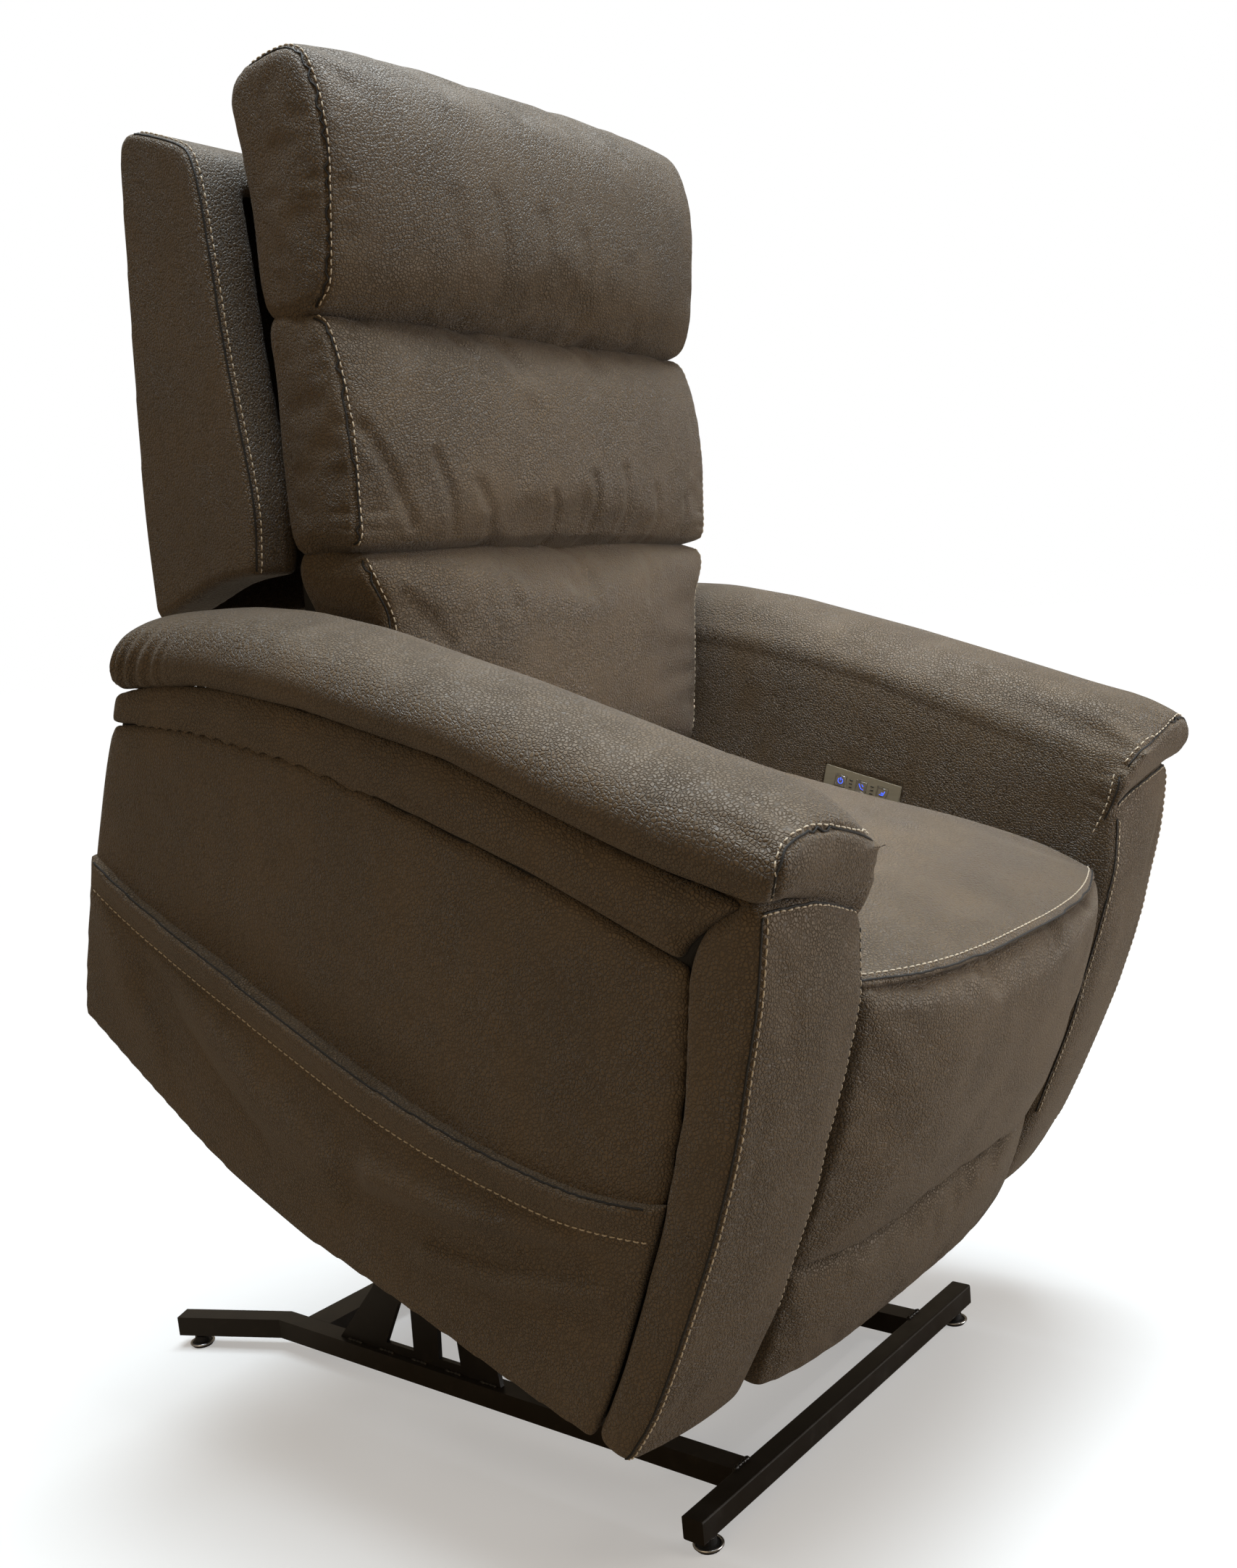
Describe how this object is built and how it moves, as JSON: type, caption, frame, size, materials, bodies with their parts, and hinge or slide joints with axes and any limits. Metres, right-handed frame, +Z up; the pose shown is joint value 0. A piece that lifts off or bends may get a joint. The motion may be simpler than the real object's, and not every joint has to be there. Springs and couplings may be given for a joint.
{
  "type": "lift recliner chair",
  "caption": "Upholstered power lift recliner, shown raised: a steel floor base tips the padded chair forward, with reclining back, tilting headrest and extending footrest.",
  "frame": {"origin": "on the floor at the middle of the raised chair, seen from above", "axes": "+Z up; the sitter faces -Y; +X is the sitter's left"},
  "size_m": [0.904, 1.1597, 1.485],
  "materials": {
    "leather": "dark taupe-brown faux leather with a fine pebble grain, semi-matte",
    "black_steel": "satin black paint on welded steel tube and plate",
    "zinc_steel": "bright zinc plate",
    "black_plastic": "fine-textured black moulding",
    "wood": "bare birch plywood",
    "webbing": "black lining cloth",
    "champagne_metal": "brushed champagne anodising",
    "button_metal": "champagne grey button caps with a blue-lit icon"
  },
  "bodies": {
    "base": {"front_floor_bar": "black_steel", "rear_cross_member": "black_steel", "lift_motor_bracket": "black_steel", "power_supply": "black_plastic", "base_rail_left": "black_steel", "base_rail_right": "black_steel", "upright_plate_left": "black_steel", "upright_plate_right": "black_steel", "front_glide_left": "black_plastic", "front_glide_right": "black_plastic", "rear_glide_left": "black_plastic", "rear_glide_right": "black_plastic"},
    "lower_lift_arms": {"lower_lift_frame": "black_steel"},
    "upper_lift_arms": {"upper_lift_arm_left": "black_steel", "upper_lift_arm_right": "black_steel"},
    "lift_motor": {"lift_motor": "black_plastic"},
    "lift_rod": {"lift_rod": "zinc_steel"},
    "carriage": {"front_cross_tube": "black_steel", "motor_cross_tube": "black_steel", "rear_cross_tube": "black_steel", "seat_frame": "wood", "seat_springs": "zinc_steel", "seat_cushion": "leather", "rear_flap": "webbing", "control_plate": "champagne_metal", "carriage_plate_left": "black_steel", "carriage_plate_right": "black_steel", "arm_frame_left": "wood", "arm_frame_right": "wood", "side_panel_left": "leather", "side_panel_right": "leather", "side_pocket_left": "leather", "side_pocket_right": "leather", "arm_pad_left": "leather", "arm_pad_right": "leather", "front_pad_left": "leather", "front_pad_right": "leather"},
    "button_1": {"control_button_1": "button_metal"},
    "button_2": {"control_button_2": "button_metal"},
    "button_3": {"control_button_3": "button_metal"},
    "footrest_rear_links": {"footrest_rear_links": "black_steel"},
    "footrest_front_links": {"footrest_front_link_left": "black_steel", "footrest_front_link_right": "black_steel"},
    "footrest": {"footrest_board": "wood", "footrest_main_pad": "leather", "footrest_lower_pad": "leather"},
    "footrest_motor": {"footrest_motor": "black_plastic"},
    "footrest_rod": {"footrest_rod": "zinc_steel"},
    "back": {"back_frame": "wood", "recline_shaft": "zinc_steel", "outer_back": "leather", "lower_bolster": "leather", "middle_bolster": "leather", "headrest_carrier": "black_steel"},
    "headrest": {"headrest_board": "wood", "head_bolster": "leather"},
    "headrest_motor": {"headrest_motor": "black_plastic"},
    "headrest_rod": {"headrest_rod": "zinc_steel"},
    "recline_motor": {"recline_motor": "black_plastic"},
    "recline_rod": {"recline_rod": "zinc_steel"}
  },
  "joints": [
    {"name": "lift", "type": "hinge", "parent": "base", "child": "lower_lift_arms", "pos_m": [0, 0.132, 0.235], "axis": [1, 0, 0], "range_deg": [0, 36.3]},
    {"name": "carriage_tip", "type": "hinge", "parent": "lower_lift_arms", "child": "carriage", "pos_m": [0, -0.20056, 0.25938], "axis": [1, 0, 0], "range_deg": [-61.03, 0]},
    {"name": "upper_lift_swing", "type": "hinge", "parent": "base", "child": "upper_lift_arms", "pos_m": [0, 0.102, 0.3], "axis": [1, 0, 0], "range_deg": [0, 65.41]},
    {"name": "lift_motor_swing", "type": "hinge", "parent": "base", "child": "lift_motor", "pos_m": [0, 0.357, 0.06], "axis": [1, 0, 0], "range_deg": [0, 17.95]},
    {"name": "lift_rod_slide", "type": "slide", "parent": "lift_motor", "child": "lift_rod", "axis": [0, -0.8974, 0.4411], "range_m": [-0.1423, 0]},
    {"name": "recline", "type": "hinge", "parent": "carriage", "child": "back", "pos_m": [0, 0.05455, 0.6582], "axis": [-1, 0, 0], "range_deg": [0, 42]},
    {"name": "recline_motor_swing", "type": "hinge", "parent": "carriage", "child": "recline_motor", "pos_m": [0, -0.1857, 0.38949], "axis": [-1, 0, 0], "range_deg": [-6.19, 0]},
    {"name": "recline_rod_slide", "type": "slide", "parent": "recline_motor", "child": "recline_rod", "axis": [0, 0.8212, 0.5707], "range_m": [-0.05092, 0]},
    {"name": "footrest", "type": "hinge", "parent": "carriage", "child": "footrest_rear_links", "pos_m": [0, -0.30013, 0.47913], "axis": [-1, 0, 0], "range_deg": [0, 72.22]},
    {"name": "footrest_knee", "type": "hinge", "parent": "footrest_rear_links", "child": "footrest_front_links", "pos_m": [0, -0.24876, 0.25529], "axis": [-1, 0, 0], "range_deg": [-140.88, 0]},
    {"name": "footrest_board_turn", "type": "hinge", "parent": "footrest_front_links", "child": "footrest", "pos_m": [0, -0.35953, 0.44549], "axis": [-1, 0, 0], "range_deg": [0, 154.71]},
    {"name": "footrest_motor_swing", "type": "hinge", "parent": "carriage", "child": "footrest_motor", "pos_m": [0, 0.09166, 0.60807], "axis": [-1, 0, 0], "range_deg": [0, 0.1836]},
    {"name": "footrest_rod_slide", "type": "slide", "parent": "footrest_motor", "child": "footrest_rod", "axis": [0, -0.9045, -0.4265], "range_m": [0, 0.0729]},
    {"name": "headrest", "type": "hinge", "parent": "back", "child": "headrest", "pos_m": [0, 0.11303, 1.24928], "axis": [1, 0, 0], "range_deg": [-4, 18]},
    {"name": "headrest_motor_swing", "type": "hinge", "parent": "back", "child": "headrest_motor", "pos_m": [0, 0.18614, 0.99421], "axis": [1, 0, 0], "range_deg": [-0.37, 1.64]},
    {"name": "headrest_rod_slide", "type": "slide", "parent": "headrest_motor", "child": "headrest_rod", "axis": [0, -0.072, 0.9974], "range_m": [-0.00365, 0.01615]},
    {"name": "button_1_press", "type": "slide", "parent": "carriage", "child": "button_1", "axis": [1, 0, 0], "range_m": [0, 0.0008], "stiffness_N_per_m": 1200},
    {"name": "button_2_press", "type": "slide", "parent": "carriage", "child": "button_2", "axis": [1, 0, 0], "range_m": [0, 0.0008], "stiffness_N_per_m": 1200},
    {"name": "button_3_press", "type": "slide", "parent": "carriage", "child": "button_3", "axis": [1, 0, 0], "range_m": [0, 0.0008], "stiffness_N_per_m": 1200}
  ],
  "couplings": [
    {"joint": "carriage_tip", "follows": "lift", "ratio": -1.6743},
    {"joint": "upper_lift_swing", "follows": "lift", "ratio": 1.7947},
    {"joint": "lift_motor_swing", "follows": "lift", "ratio": 0.49249},
    {"joint": "lift_rod_slide", "follows": "lift", "m_per_rad": -0.22369},
    {"joint": "recline_motor_swing", "follows": "recline", "ratio": -0.14668},
    {"joint": "recline_rod_slide", "follows": "recline", "m_per_rad": -0.069183},
    {"joint": "footrest_knee", "follows": "footrest", "ratio": -1.9428},
    {"joint": "footrest_board_turn", "follows": "footrest", "ratio": 2.1336},
    {"joint": "footrest_motor_swing", "follows": "footrest", "ratio": 0.002531},
    {"joint": "footrest_rod_slide", "follows": "footrest", "m_per_rad": 0.057603},
    {"joint": "headrest_motor_swing", "follows": "headrest", "ratio": 0.090551},
    {"joint": "headrest_rod_slide", "follows": "headrest", "m_per_rad": 0.051166}
  ]
}
